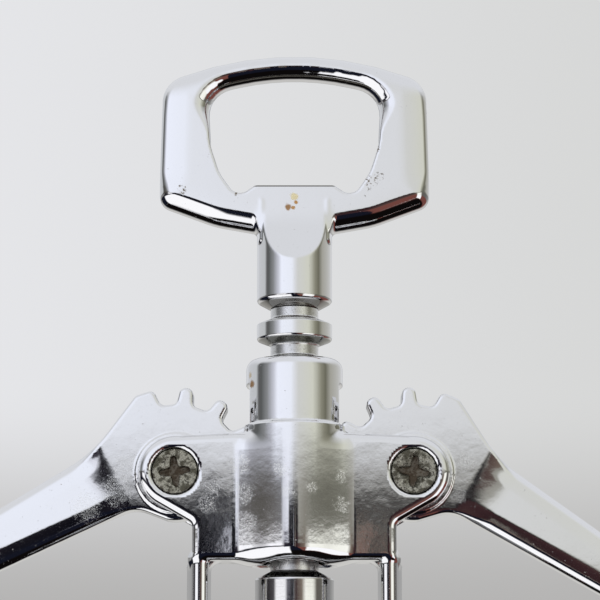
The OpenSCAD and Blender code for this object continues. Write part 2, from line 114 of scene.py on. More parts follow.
def rounded(corners, steps=8):
    """An outline's corners, given as (across, up, radius), with each one rounded."""
    points = []
    for i, (cx, cz, r) in enumerate(corners):
        c = np.array((cx, cz))
        if not r:
            points.append(c)
            continue
        a = np.array(corners[i - 1][:2]) - c
        b = np.array(corners[(i + 1) % len(corners)][:2]) - c
        a, b = a / np.linalg.norm(a), b / np.linalg.norm(b)
        half = math.acos(np.clip(a @ b, -1, 1)) / 2
        middle = c + (a + b) / np.linalg.norm(a + b) * r / math.sin(half)
        start = c + a * r / math.tan(half) - middle
        finish = c + b * r / math.tan(half) - middle
        swing = math.pi - 2 * half
        for k in np.linspace(0, 1, steps):
            points.append(middle + (math.sin(swing * (1 - k)) * start
                                    + math.sin(swing * k) * finish) / math.sin(swing))
    return np.array(points)


def slab(flat, y, half, edge):
    """A plate of the given flat outline distance, with its front and back edges rounded."""
    return common(flat, np.abs(y) - half, edge)


def mirrored(corners, middle=()):
    """A half outline, right side, completed by the points on the axis and its mirror image."""
    return [*corners, *middle, *((-x, z, r) for x, z, r in reversed(corners))]


print("fields ready")

# %% [markdown]
# ## The skin of a field
# The space round a piece is divided into small cells. Each cell that the surface crosses gets
# one corner of the skin, and four neighbouring cells share a face. The corners are then moved
# along the slope of the field until they lie exactly on the surface, because chrome shows
# every hundredth of a millimetre.

# %% Lay a skin over a field
def paced(stops, factor=1.0):
    """Grid lines from (from, step) pairs; the last pair only closes the row."""
    lines = [np.arange(a, b, step * factor) for (a, step), (b, _) in zip(stops, stops[1:])]
    return np.concatenate([*lines, [stops[-1][0]]])


def grid_skin(field, axes):
    """Corners and four-sided faces of the surface where the field is zero."""
    value = field(axes[0][:, None, None], axes[1][None, :, None], axes[2][None, None, :])
    inside = value < 0
    n = np.array(value.shape) - 1
    total, count = np.zeros((*n, 3), np.float32), np.zeros(n, np.float32)
    offsets = [(i, j, k) for i in (0, 1) for j in (0, 1) for k in (0, 1)]

    def part(array, o, size=n):
        return array[o[0]:o[0] + size[0], o[1]:o[1] + size[1], o[2]:o[2] + size[2]]

    for axis in range(3):
        for a in (o for o in offsets if o[axis] == 0):
            b = tuple(v + (i == axis) for i, v in enumerate(a))
            va, vb = part(value, a), part(value, b)
            crossed = part(inside, a) != part(inside, b)
            share = np.where(crossed, va / np.where(crossed, va - vb, 1), 0)
            for i in range(3):
                total[..., i] += np.where(crossed, a[i] + (share if i == axis else 0), 0)
            count += crossed
    used = count > 0
    cell = np.full(n, -1)
    cell[used] = np.arange(used.sum())
    start = np.stack(np.nonzero(used), 1)
    start = start + total[used] / count[used][:, None]
    points = np.stack([np.interp(start[:, i], np.arange(len(a)), a) for i, a in enumerate(axes)], 1)
    faces = []
    for axis in range(3):
        u, v = (axis + 1) % 3, (axis + 2) % 3
        one = np.eye(3, dtype=int)
        size = n - one[u] - one[v]
        here = one[u] + one[v]
        crossed = part(inside, here, size) != part(inside, here + one[axis], size)
        quad = [part(cell, o, size)[crossed] for o in (0 * one[u], one[u], one[u] + one[v], one[v])]
        out = part(inside, here, size)[crossed]
        quad = np.stack(quad, 1)
        faces.append(np.where(out[:, None], quad, quad[:, ::-1]))
    return points, np.concatenate(faces)


def settle(field, points, step, rounds=3):
    """Moves each point along the field's slope onto the surface."""
    h = 0.02
    for _ in range(rounds):
        f = field(*points.T)
        slope = np.stack([field(*(points + h * axis).T) - field(*(points - h * axis).T)
                          for axis in np.eye(3)], 1) / (2 * h)
        length2 = np.maximum((slope ** 2).sum(1), 0.05)
        move = np.clip(f / length2, -step, step)
        points = points - slope * move[:, None]
    return points


def mesh_piece(name, points, faces):
    """A mesh object from corners in millimetres."""
    mesh = bpy.data.meshes.new(name)
    mesh.from_pydata((np.asarray(points) * MM).tolist(), [], [list(map(int, f)) for f in faces])
    mesh.validate()
    mesh.shade_smooth()
    piece = bpy.data.objects.new(name, mesh)
    bpy.context.scene.collection.objects.link(piece)
    return piece


COARSER = 1.0


def cast(name, field, *rows):
    """A casting: the skin of its field on a grid whose rows are (from, step) pairs."""
    points, faces = grid_skin(field, [paced(row, COARSER) for row in rows])
    points = settle(field, points, 0.4)
    piece = mesh_piece(name, points, faces)
    print(f"{name}: {len(points)} corners, {len(faces)} faces")
    return piece


# %% [markdown]
# ## The handle
# The handle is a crown cap opener: a plate with a mouth whose straight lip lifts the cap.
# Its outer edges are broad and soft, the lip and the sides of the mouth are crisp, and the
# roof of the mouth is hollowed out. Below, the plate runs out into a turned stem.

# %% The handle's field
HANDLE_HALF = 3.3
STEM_BOTTOM, STEM_TOP = 29.32, 48.5
SWEEP_R, SWEEP_TOP = 16.0, 47.4
handle_outline = rounded(mirrored(
    [(6.2, 41.0, 0), (6.2, 42.8, 0.6), (14.0, 44.2, 20), (24.0, 47.9, 2.6), (23.45, 70.2, 5)],
    [(0, 79.3, 56)]))
mouth_outline = rounded(mirrored(
    [(7.0, 51.1, 1.4), (10.2, 48.9, 2.1), (13.3, 53.4, 8), (15.0, 58.7, 12), (15.4, 68.6, 5)],
    [(0, 72.1, 44)]))


def handle_field(x, y, z):
    rise, depth, radial = z - PIVOT_H, np.abs(y), np.hypot(x, y)
    flat = outline_distance(x, rise, handle_outline)
    wing = ease(-rise, -54, -48.5)
    arch = ease(rise, 63, 75)
    low_root = np.where(rise < 50, ease(-np.abs(x), -7.2, -6.2), 0)
    bow = (1.0 + 0.2 * arch) * np.maximum(1 + flat / 6, 0) ** 3 * (1 - low_root)
    soft = (0.9 + 2.0 * wing + 0.8 * arch) * (1 - low_root) + 0.6 * low_root
    plate = slab(flat, y, HANDLE_HALF - bow * (1 - 0.7 * wing), soft)
    roof = 0.4 + 2.6 * ease(rise, 60, 67)
    plate = cut(plate, outline_distance(x, rise, mouth_outline), roof)
    foot = ((radial - 4.5) * 1.18 - (rise - STEM_BOTTOM) * 2.1) / 2.409
    stem = common(common(radial - RING_R, foot, 0.3),
                  np.maximum(STEM_BOTTOM - rise, rise - STEM_TOP), 0.1)
    hollow = np.where(rise > SWEEP_TOP, HANDLE_HALF - depth,
                      np.hypot(depth - HANDLE_HALF - SWEEP_R, rise - SWEEP_TOP) - SWEEP_R)
    stem = cut(stem, hollow, 0.35)
    return join(plate, stem, 0.02 + 0.6 * ease(np.abs(x), 5.2, 6.2))


handle = cast("handle_casting", handle_field, [(-24.8, 0.28), (24.8, 0)],
              [(-7.2, 0.28), (7.2, 0)], [(118.5, 0.28), (166, 0)])

# %% [markdown]
# ## The frame
# One casting holds everything: a bridge plate with an ear for each lever, a neck that guides
# the spindle, two legs, and the bell that sits on the bottle.

# %% The frame's field
NECK_R, SWELL_R, SWELL_TOP = 8.45, 9.3, 8.4
BRIDGE_TOP, BRIDGE_BOTTOM = 6.7, 15.3
EAR_R, PLATE_HALF = 6.2, 5.7
LEG_INNER, LEG_W, LEG_DEPTH, LEG_FOOT = 14.5, 4.1, 10.5, 16
EAR_HOLE_R, COUNTERBORE_R, COUNTERBORE_FLOOR = 2.93, 4.06, 3.77
SWING_GAP, NOTCH_TOP = 0.8, 15.3
BELL_R, MOUTH_R, MOUTH_DEPTH, BELL_H, CROWN_R = 18.9, 15.2, 15.0, 24.0, 9.5
SLANT = math.radians(30)
ear_touch = (PIVOT_X + EAR_R * math.sin(SLANT), -EAR_R * math.cos(SLANT))
shoulder_x = LEG_INNER + LEG_W - 1
slant_end = ear_touch[1] - (ear_touch[0] - shoulder_x) * math.tan(SLANT)
bridge_outline = rounded(mirrored(
    [(shoulder_x, -BRIDGE_BOTTOM, 0), (shoulder_x, slant_end, 1.2)]
    + [(PIVOT_X + EAR_R * math.cos(a), EAR_R * math.sin(a), 0)
       for a in np.linspace(SLANT - math.pi / 2, math.pi / 2, 26)]
    + [(NECK_R + 1.6, BRIDGE_TOP, 0)]))
ridge, CREST_R = LEG_INNER + 0.42 * LEG_W, 1.5
crest = [(ridge + CREST_R * math.sin(a), CREST_R - LEG_DEPTH / 2 - CREST_R * math.cos(a))
         for a in np.radians(np.linspace(-62, 62, 15))]
leg_half = [(LEG_INNER, 0), (LEG_INNER + 0.2, -2.8), *crest,
            (LEG_INNER + LEG_W - 0.6, -3.0), (LEG_INNER + LEG_W, 0)]
leg_section = np.array(leg_half + [(x, -y) for x, y in leg_half[-2:0:-1]])
bell_profile = rounded([
    (MOUTH_R + 0.2, 0, 0.5), (BELL_R, 0, 0.7), (BELL_R, 4.8, 0.7), (BELL_R - 0.6, 5.4, 0.6),
    (BELL_R - 0.6, BELL_H, 7), (CROWN_R, BELL_H, 0.7), (CROWN_R, MOUTH_DEPTH + 2.5, 0.5),
    (MOUTH_R - 2.5, MOUTH_DEPTH + 1.5, 0.5), (MOUTH_R, MOUTH_DEPTH, 1.5)])


def frame_field(x, y, z):
    across, depth, rise, radial = np.abs(x), np.abs(y), z - PIVOT_H, np.hypot(x, y)
    flat = outline_distance(across, rise, bridge_outline)
    bridge = slab(flat, y, PLATE_HALF, 1.2)
    neck = join(common(radial - NECK_R, rise - NECK_TOP, 1.9),
                common(radial - SWELL_R, rise - SWELL_TOP, 0.35), 0.4)
    neck = common(neck, -rise - BRIDGE_BOTTOM, 2.2)
    body = join(bridge, neck, 1.0 + 1.6 * ease(-rise, -7.2, -4.0))
    leg = common(outline_distance(across, y, leg_section) - 0.05,
                 np.maximum(LEG_FOOT - z, rise + BRIDGE_BOTTOM - 0.7), 0.1)
    body = join(body, leg, 1.9 - 1.3 * ease(depth, 3.2, 4.6))
    body = join(body, outline_distance(radial, z, bell_profile), 1.2)
    body = cut(body, np.maximum(radial - BORE_R, BELL_H + 1 - z), 0.4)
    from_pivot = np.hypot(across - PIVOT_X, rise)
    swing = np.minimum(from_pivot - TIP_R - SWING_GAP,
                       np.maximum(PIVOT_X - across, np.abs(rise) - TIP_R - SWING_GAP))
    notch = np.maximum(np.maximum(1 - across, across - PIVOT_X),
                       np.maximum(-rise, rise - NOTCH_TOP))
    slot = np.maximum(np.minimum(swing, notch), depth - SLOT_HALF)
    body = cut(body, slot, 0.3)
    seat = np.minimum(from_pivot - EAR_HOLE_R,
                      np.maximum(from_pivot - COUNTERBORE_R, COUNTERBORE_FLOOR - depth))
    return cut(body, seat, 0.18)


frame_casting = cast("frame_casting", frame_field, [(-27.2, 0.37), (27.2, 0)],
                     [(-19.3, 0.8), (-9.8, 0.34), (9.8, 0.8), (19.4, 0)],
                     [(-0.4, 0.8), (24, 1.4), (67, 0.7), (72, 0.34), (111, 0)])

# %% [markdown]
# ## The levers
# Both levers come from one mould. The toothed sector and the hub are flat with crisp edges.
# The arm is rounded for the hand, and a little thinner along its upper edge. The skin is laid
# once, with the pivot at the origin and the arm along +X, and is then swung into place on
# each side.

# %% The lever's outline, from the law of its teeth
ROLL_R = 14.62
PITCH = 6.76
TOOTH_STEP = math.degrees(PITCH / ROLL_R)
TOOTH_H, TIP_W, FOOT_W, TEETH = 3.05, 2.2, 2.9, 7
MESH_TOOTH, MESH_GROOVE, MESH_RISE = 204.65, 4, 1.43
ARM_REACH, PADDLE_W, HUB_R, PIVOT_HOLE_R = 84.5, 12.4, 8.2, 2.96
droop = MESH_TOOTH - 180 + math.degrees(MESH_RISE / ROLL_R)
first_tooth = MESH_TOOTH - MESH_GROOVE * TOOTH_STEP


def on_circle(r, degrees):
    return r * math.cos(math.radians(degrees)), r * math.sin(math.radians(degrees)), 0


hub_start = first_tooth + (TEETH - 1) * TOOTH_STEP + 17
lever_corners = [on_circle(HUB_R, a) for a in np.linspace(hub_start, 308, 9)]
lever_corners += [(9.0, -1.9, 5.5), (44, -0.1, 90), (ARM_REACH, -0.9, 5.6),
                  (ARM_REACH, PADDLE_W - 0.9, 5.6), (62, 9.5, 60), (36, 8.7, 60),
                  (10.8, 10.2, 20), (*on_circle(TIP_R + 0.25, 90.5)[:2], 1.2)]
tooth = [(TIP_R - TOOTH_H, -FOOT_W / 2, 1.2), (TIP_R, -TIP_W / 2, 1.1),
         (TIP_R, TIP_W / 2, 1.1), (TIP_R - TOOTH_H, FOOT_W / 2, 1.2)]
for k in range(TEETH):
    a = math.radians(first_tooth + k * TOOTH_STEP)
    for out, along, r in tooth if k else tooth[2:]:
        lever_corners.append((out * math.cos(a) - along * math.sin(a),
                              out * math.sin(a) + along * math.cos(a), r))
lever_outline = rounded(lever_corners)
print("lever outline:", len(lever_outline), "points, drooping", round(droop, 2), "degrees")


# %% The lever's field, and both levers swung into place
def lever_field(u, y, v):
    flat = outline_distance(u, v, lever_outline)
    from_pivot = np.hypot(u, v)
    arm = ease(u, 9, 16)
    half = LEVER_T / 2 - arm * (0.034 * np.clip(v + 1, 0, 14) + 0.2 * (1 - ease(-flat, 0, 3.5)))
    plate = slab(flat, y, half, 0.45 + 1.0 * arm)
    boss = common(from_pivot - BOSS_R, np.abs(y) - LEVER_T / 2 - BOSS_H, 0.12)
    return cut(join(plate, boss, 0.12), from_pivot - PIVOT_HOLE_R, 0.15)


lever_grid = [paced(row, COARSER) for row in (
    [(-15.8, 0.24), (85.2, 0)], [(-3.1, 0.24), (3.2, 0)], [(-15.8, 0.24), (16.2, 0)])]
lever_points, lever_faces = grid_skin(lever_field, lever_grid)
lever_points = settle(lever_field, lever_points, 0.3)


def swung(points, degrees, side):
    """Points drawn with the pivot at the origin, moved to the pivot of one side."""
    a = math.radians(degrees)
    u, y, v = np.asarray(points).T
    x = PIVOT_X + u * math.cos(a) + v * math.sin(a)
    z = PIVOT_H - u * math.sin(a) + v * math.cos(a)
    return np.stack([side * x, y, z], 1)


PLAY = 2.2
right_lever = mesh_piece("right_lever_casting", swung(lever_points, droop + PLAY, 1), lever_faces)
left_lever = mesh_piece("left_lever_casting", swung(lever_points, droop - PLAY, -1),
                        lever_faces[:, ::-1])
print("levers:", len(lever_faces), "faces each")

# %% [markdown]
# ## Turned pieces
# The ringed sleeve, the worm's holder and the bushes come from a lathe. A profile is spun
# round the axis. Each corner of the profile is a small arc with a support line on both
# sides, so that flats stay flat in the mirror of the plating.


# %% Spin a profile round an axis
def turned(name, profile, axis_at=(0, 0), along="z", steps=144):
    """A closed profile of (radius, height, rounding), spun round Z, or round Y at a pivot."""
    line = rounded(profile, 5)
    held = []
    for here, after in zip(line, np.roll(line, -1, axis=0)):
        length = np.linalg.norm(after - here)
        held.append(here)
        if length > 0.35:
            way = (after - here) / length * 0.08
            held += [here + way, after - way]
    r, h = np.array(held).T
    angle = np.linspace(0, 2 * math.pi, steps, endpoint=False)
    a, rr = np.meshgrid(angle, r, indexing="ij")
    hh = np.broadcast_to(h, rr.shape)
    if along == "z":
        points = np.stack([rr * np.cos(a), rr * np.sin(a), hh], -1)
    else:
        points = np.stack([axis_at[0] + rr * np.sin(a), hh, axis_at[1] + rr * np.cos(a)], -1)
    n = len(held)
    off_axis = [j for j in range(n) if r[j] > 0 or r[(j + 1) % n] > 0]
    i, j = np.meshgrid(np.arange(steps), off_axis, indexing="ij")
    quads = np.stack([i * n + j, (i + 1) % steps * n + j,
                      (i + 1) % steps * n + (j + 1) % n, i * n + (j + 1) % n], -1).reshape(-1, 4)
    piece = mesh_piece(name, points.reshape(-1, 3), quads)
    build = bmesh.new()
    build.from_mesh(piece.data)
    bmesh.ops.remove_doubles(build, verts=build.verts, dist=1e-7)
    bmesh.ops.recalc_face_normals(build, faces=build.faces)
    build.to_mesh(piece.data)
    build.free()
    print(f"{name}: {len(piece.data.polygons)} faces")
    return piece


# %% The ringed sleeve
GROOVES = 7
GROOVE_TOP, GROOVE_FLOOR = 2.0, 1.05
ROD_R, PLAIN_NECK = 2.65, 3.75
rings_top = MESH_RISE + MESH_GROOVE * PITCH + GROOVE_FLOOR - 0.2
rings_bottom = MESH_RISE - (GROOVES - 1 - MESH_GROOVE) * PITCH - GROOVE_FLOOR - PLAIN_NECK
profile = [(GROOVE_R, PIVOT_H + rings_top - 0.1, 0)]
for k in range(GROOVES):
    middle = PIVOT_H + MESH_RISE + (MESH_GROOVE - k) * PITCH
    if k > 0:
        profile += [(RING_R, middle + GROOVE_TOP, 0.42), (GROOVE_R, middle + GROOVE_FLOOR, 0.4)]
    if k < GROOVES - 1:
        profile += [(GROOVE_R, middle - GROOVE_FLOOR, 0.5), (RING_R, middle - GROOVE_TOP, 0.22)]
profile += [(GROOVE_R, PIVOT_H + rings_bottom, 0), (ROD_R, PIVOT_H + rings_bottom, 0),
            (ROD_R, PIVOT_H + rings_top - 0.1, 0)]
rings = turned("ringed_sleeve", profile)

# %% The worm's holder
holder_top = PIVOT_H + rings_bottom - 0.1
HOLDER_R, HOLDER_H, SOCKET_R, WORM_BORE_R = 6.84, 13.1, 2.63, 1.48
holder_bottom = holder_top - HOLDER_H
holder = turned("worm_holder_turned", [
    (WORM_BORE_R, holder_bottom, 0.1), (HOLDER_R, holder_bottom, 2.0),
    (HOLDER_R, holder_top - 1.3, 0.35), (GROOVE_R, holder_top, 0.1), (SOCKET_R, holder_top, 0),
    (SOCKET_R, holder_top - 7.1, 0), (WORM_BORE_R, holder_top - 7.7, 0)])

# %% The bushes that the levers turn on, pushed in from the back
HEAD_R, HEAD_T, BUSH_R, SHANK_R = 3.9, 1.6, 2.9, 1.9
head_floor = PLATE_HALF - 0.3 - HEAD_T
bushes = {side: turned(f"{side}_bush_turned", [
    (SHANK_R + 0.03, 0.1 - head_floor, 0.1), (BUSH_R, 0.1 - head_floor, 0.15),
    (BUSH_R, head_floor, 0.05), (HEAD_R, head_floor, 0.1),
    (HEAD_R, head_floor + HEAD_T - 0.25, 0.5), (2.2, head_floor + HEAD_T, 3),
    (0, head_floor + HEAD_T, 0), (0, head_floor - 0.6, 0), (SHANK_R + 0.03, head_floor - 0.6, 0)],
    (sign * PIVOT_X, PIVOT_H), "y", 96) for side, sign in (("left", -1), ("right", 1))}

# %% [markdown]
# ## The screws
# A screw runs into each bush from the front. Drivers have slipped in the crosses so often
# that their edges are round and the arms are wide at the middle. Fields with small roundings
# say this better than clean cuts do, so the screws are cast too, on a finer grid.


# %% A screw with a worn cross
def screw_field(lean, wear):
    turn = math.radians(lean)

    def field(x, y, z):
        radial = np.hypot(x, z)
        crown = y + head_floor + HEAD_T - 0.35 + 0.02 * radial ** 2
        head = common(radial - HEAD_R, np.maximum(-crown - 0.35, y + head_floor), 0.35)
        shank = np.maximum(radial - SHANK_R, np.maximum(-y - head_floor - 1, y - head_floor + 1))
        screw = np.minimum(head, shank)
        u = x * math.cos(turn) - z * math.sin(turn)
        v = x * math.sin(turn) + z * math.cos(turn)
        arm = np.minimum(np.hypot(np.maximum(np.abs(u) - 2.3, 0), v),
                         np.hypot(u, np.maximum(np.abs(v) - 2.3, 0)))
        floor = y + head_floor + HEAD_T - 1.2 + 0.16 * radial
        cross = common(arm - 0.98 + 0.23 * radial, floor, 0.25)
        star = np.cos(4 * np.arctan2(v, u)) + 0.5 * np.cos(7 * np.arctan2(v, u) + 1)
        worn = radial - wear - 0.2 * wear * star + 1.5 * (y + head_floor + HEAD_T)
        cross = join(cross, common(worn, floor, 0.3), 0.3)
        return cut(screw, cross, 0.25)
    return field


screws = {}
screw_grid = [paced(row) for row in ([(-4.2, 0.13), (4.2, 0)], [(-5.8, 0.13), (3.2, 0)],
                                     [(-4.2, 0.13), (4.2, 0)])]
for side, sign, lean, wear in (("left", -1, -7, 1.5), ("right", 1, 8, 2.3)):
    points, faces = grid_skin(screw_field(lean, wear), screw_grid)
    points = settle(screw_field(lean, wear), points, 0.13)
    points = points + (sign * PIVOT_X, 0, PIVOT_H)
    screws[side] = mesh_piece(f"{side}_screw_worn", points, faces)
    print(f"{side} screw: {len(faces)} faces")

# %% [markdown]
# ## The worm
# The worm is drawn wire, bent into a helix and ground to a point. Its shape follows a rule,
# so Geometry Nodes make it: a line is resampled, each of its points is moved onto the helix,
# and a circle is swept along it with a radius that falls off towards the point. Above the
# coil a straight shank runs up into the holder.

# %% Shader sums written as Python
class Wire:
    """A socket of a node tree. Sums of wires and numbers add the Math nodes they need."""

    def __init__(self, socket):
        self.socket = socket

    def node(self, kind, settings=None, sockets=None, out=0):
        """Adds any other node: its settings first, then its sockets' values or links."""
        return add_node(self.socket.id_data, kind, settings, sockets, out)

    def math(self, operation, *values):
        return self.node("ShaderNodeMath", {"operation": operation}, dict(enumerate(values)))

    def __add__(self, other):
        return self.math("ADD", self, other)

    def __sub__(self, other):
        return self.math("SUBTRACT", self, other)

    def __rsub__(self, other):
        return self.math("SUBTRACT", other, self)

    def __mul__(self, other):
        return self.math("MULTIPLY", self, other)

    def __truediv__(self, other):
        return self.math("DIVIDE", self, other)

    def __neg__(self):
        return self.math("MULTIPLY", self, -1)

    __radd__, __rmul__ = __add__, __mul__

    def between(self, low, high):
        """A smooth 0 to 1 as this wire goes from low to high; low may be the larger."""
        return self.node("ShaderNodeMapRange", {"interpolation_type": "SMOOTHSTEP"},
                         {"Value": self, "From Min": low, "From Max": high})


def add_node(tree, kind, settings=None, sockets=None, out=0):
    made = tree.nodes.new(kind)
    for key, value in (settings or {}).items():
        if key == "stops":
            ramp = made.color_ramp
            while len(ramp.elements) < len(value):
                ramp.elements.new(0.5)
            for element, (at, colour) in zip(ramp.elements, value):
                element.position = at
                element.color = (*colour, 1)
        else:
            setattr(made, key, value)
    for key, value in (sockets or {}).items():
        if isinstance(value, Wire):
            tree.links.new(value.socket, made.inputs[key])
        else:
            made.inputs[key].default_value = value
    return Wire(made.outputs[out])


# %% The worm's rule as a Geometry Nodes tree
WIRE_R, WORM_R, WORM_PITCH, POINT_H = 1.45, 4.45, 9.0, 4.0
coil_top = holder_bottom - 0.6
worm_sizes = {"Wire radius": WIRE_R, "Coil radius": WORM_R - WIRE_R, "Pitch": WORM_PITCH,
              "Top": coil_top, "Turns": (coil_top - POINT_H) / WORM_PITCH, "Shank": 5.9,
              "Opening": 0.6, "Taper": 7.2 / WORM_PITCH, "Point": 0.09}


def worm_tree(name, sizes, material):
    tree = bpy.data.node_groups.new(name, "GeometryNodeTree")
    tree.interface.new_socket("Geometry", in_out="OUTPUT", socket_type="NodeSocketGeometry")
    for size, value in sizes.items():
        made = tree.interface.new_socket(size, in_out="INPUT", socket_type="NodeSocketFloat")
        made.default_value = value
    inputs = tree.nodes.new("NodeGroupInput")
    size = {name: Wire(inputs.outputs[name]) for name in sizes}
    line = add_node(tree, "GeometryNodeCurvePrimitiveLine")
    line = line.node("GeometryNodeResampleCurve", {}, {"Curve": line, "Count": 420})
    along = add_node(tree, "GeometryNodeSplineParameter")
    shank = size["Shank"] / size["Pitch"]
    turn = along * (size["Turns"] + shank) - shank
    opened = turn / size["Opening"]
    opened = opened.node("ShaderNodeClamp", {}, {"Value": opened})
    radius = size["Coil radius"] * opened
    angle = turn * math.tau
    place = add_node(tree, "ShaderNodeCombineXYZ", {}, {
        "X": radius * angle.math("COSINE", angle), "Y": radius * angle.math("SINE", angle),
        "Z": size["Top"] - turn * size["Pitch"]})
    line = line.node("GeometryNodeSetPosition", {}, {"Geometry": line, "Position": place})
    left = size["Point"] + size["Wire radius"] * (size["Turns"] - turn) / size["Taper"]
    wire = left.math("MINIMUM", left, size["Wire radius"])
    line = line.node("GeometryNodeSetCurveRadius", {}, {"Curve": line, "Radius": wire})
    ring = add_node(tree, "GeometryNodeCurvePrimitiveCircle", {}, {"Resolution": 32, "Radius": 1.0})
    mesh = add_node(tree, "GeometryNodeCurveToMesh", {},
                    {"Curve": line, "Profile Curve": ring, "Fill Caps": True, "Scale": wire})
    mesh = mesh.node("GeometryNodeRealizeInstances", {}, {"Geometry": mesh})
    mesh = mesh.node("GeometryNodeSetMaterial", {}, {"Geometry": mesh, "Material": material})
    output = tree.nodes.new("NodeGroupOutput")
    tree.links.new(mesh.socket, output.inputs[0])
    return tree


# %% [markdown]
# ## Finishes
# Chrome has almost no colour of its own. What makes a plated casting look used is what breaks
# its mirror: a faint unevenness of the metal below, dull and scuffed patches where the plating
# is thin, pits where it has gone, and a little rust. Each is a mask that raises the roughness
# or changes the colour.


# %% A material and the place it is seen at
def split(vector):
    """The three parts of a vector, each a wire."""
    parts = vector.node("ShaderNodeSeparateXYZ", {}, {0: vector}).socket.node.outputs
    return [Wire(part) for part in parts]


def finish_of(name):
    """A new material: its shader node, the wire to the output, and a place in millimetres."""
    material = bpy.data.materials.new(name)
    material.use_nodes = True
    tree = material.node_tree
    shader = tree.nodes["Principled BSDF"]
    at = add_node(tree, "ShaderNodeTexCoord", out=3)
    at = at.node("ShaderNodeVectorMath", {"operation": "SCALE"}, {0: at, "Scale": 1 / MM})
    return material, shader, at


def feed(shader, **values):
    """Sets or links sockets of a shader; an underscore stands for a space."""
    for key, value in values.items():
        socket = shader.inputs[key.replace("_", " ")]
        if isinstance(value, Wire):
            shader.id_data.links.new(value.socket, socket)
        else:
            socket.default_value = value


def noise(at, scale, detail=3, roughness=0.55, w=0.0, stretch=None):
    """Noise from 0 to 1; scale is in waves per millimetre."""
    if stretch:
        at = at.node("ShaderNodeVectorMath", {"operation": "MULTIPLY"}, {0: at, 1: stretch})
    return at.node("ShaderNodeTexNoise", {"noise_dimensions": "4D"}, {
        "Vector": at, "W": w, "Scale": scale, "Detail": detail, "Roughness": roughness})


def tint(share, first, second):
    """A colour between two, by a wire; the first may be a wire of colours too."""
    first, second = (c if isinstance(c, Wire) else (*c, 1) for c in (first, second))
    return share.node("ShaderNodeMix", {"data_type": "RGBA"}, {0: share, 6: first, 7: second}, 2)


def spot(at, x, y, z, radius):
    """1 near a place, 0 away from it, with a ragged rim."""
    away = at.node("ShaderNodeVectorMath", {"operation": "DISTANCE"}, {0: at, 1: (x, y, z)}, 1)
    away = away + (noise(at, 1.3, 3, w=x) - 0.5) * radius * 1.6
    return away.between(radius, radius * 0.5)


# %% Chrome plating on a casting
def plating(name, seed, wear, pitted=(), scuffed=(), stained=(), painted_shade=None):
    """Pitted and scuffed places are (x, y, z, radius); stained ones have a colour as well."""
    material, shader, at = finish_of(name)
    swell = noise(at, 0.16, 2, w=seed)
    ripple = noise(at, 1.1, 3, w=seed + 3)
    cloud = noise(at, 0.12, 4, 0.6, w=seed + 7)
    thin = noise(at, 0.9, 6, 0.7, w=seed + 9)
    speck = noise(at, 2.6, 3, 0.6, w=seed + 11)
    grit = noise(at, 8.0, 3, 0.7, w=seed + 13)
    pits = speck.between(0.69, 0.75) * cloud.between(0.42, 0.60)
    for place in pitted:
        pits = pits + spot(at, *place) * speck.between(0.52, 0.60)
    dull = thin.between(0.54, 0.66) * cloud.between(0.60 - wear, 0.68 - wear)
    scuff = dull * grit.between(0.60, 0.66)
    for place in scuffed:
        scuff = scuff + spot(at, *place) * grit.between(0.52, 0.60)
    height = swell * 0.014 + ripple * 0.003 - pits * 0.02
    bump = at.node("ShaderNodeBump", {}, {"Height": height, "Strength": 1.0, "Distance": MM})
    colour = tint(scuff, (0.78, 0.78, 0.79), (0.86, 0.86, 0.84))
    colour = tint(pits, colour, (0.16, 0.13, 0.10))
    rust = 0
    for *place, hue in stained:
        mark = spot(at, *place)
        colour, rust = tint(mark, colour, hue), rust + mark
    # The last mask paints shade: it darkens the colour where shade falls, as under the handle's stem.
    if painted_shade:
        colour = tint(painted_shade(at), colour, (0.13, 0.12, 0.10))
    metal = 1 - scuff * 0.4 - pits * 0.5 - rust * 0.6
    rough = 0.04 + cloud * 0.02 + dull * 0.03 + scuff * 0.3 + pits * 0.4 + rust * 0.4
    feed(shader, Base_Color=colour, Metallic=metal, Roughness=rough, Normal=bump)
    return material


def handle_painted_shade(at):
    """Painted shade: a dark line along the edge of the lip, and a dark cone under the stem."""
    x, y, z = split(at)
    radius = (x * x + y * y).math("SQRT", x * x + y * y)
    cone = z.between(120.6, 120.3) * radius.between(6.3, 6.0) * 0.8
    lip = x.between(-7.4, -6.9) * x.between(7.4, 6.9)
    return cone + lip * z.between(140.74, 140.84) * z.between(142, 141.6)


chrome_frame = plating(
    "chrome_on_frame", 1.0, 0.05,
    scuffed=[(-9.3, -6, 91, 2.2), (-9.0, -7, 86, 2.6), (-8.6, -7, 81, 2.6), (-8.2, -8, 77.5, 2.2),
             (8.4, -7, 89, 1.6), (8.6, -7, 84, 1.8), (8.2, -7, 79, 2.2), (-2.2, -9, 90, 1.6),
             (-1.0, -9, 86, 1.6), (3.0, -9, 87, 1.2), (-15, -5, 84, 2.0), (-14, -5, 87, 1.8)],
    stained=[(-7.3, -4.0, 105.3, 0.9, (0.26, 0.15, 0.07)), (-7.9, -3.6, 107, 0.8, (0.5, 0.42, 0.3))])
chrome_handle = plating(
    "chrome_on_handle", 21.0, 0.0,
    pitted=[(-19.8, -3, 140.3, 1.1), (13.4, -3, 141.6, 1.6), (15.0, -3, 142.6, 1.0),
            (12.2, -3, 139, 0.5), (22.9, -1.6, 154.5, 0.9), (14.7, -3, 147.4, 0.9),
            (-10.2, -3, 139.6, 0.6), (-2.9, -3.3, 133.2, 0.5), (4.1, -3.3, 133.2, 0.4)],
    stained=[(-0.1, -3.3, 139.0, 0.8, (0.66, 0.58, 0.36)), (0.2, -3.3, 138.0, 0.5, (0.42, 0.22, 0.07)),
             (-1.1, -3.3, 137.2, 0.7, (0.30, 0.17, 0.08)), (-0.2, -3.3, 137.0, 0.4, (0.42, 0.24, 0.1))],
    # The handle's mask paints shade on the cone under the stem and along the edge of the lip.
    painted_shade=handle_painted_shade)
chrome_left = plating("chrome_on_left_lever", 41.0, 0.10,
                      scuffed=[(-29, -2.5, 91, 3.2), (-31, -2.5, 87, 3.4), (-36, -2.3, 84, 3.0)])
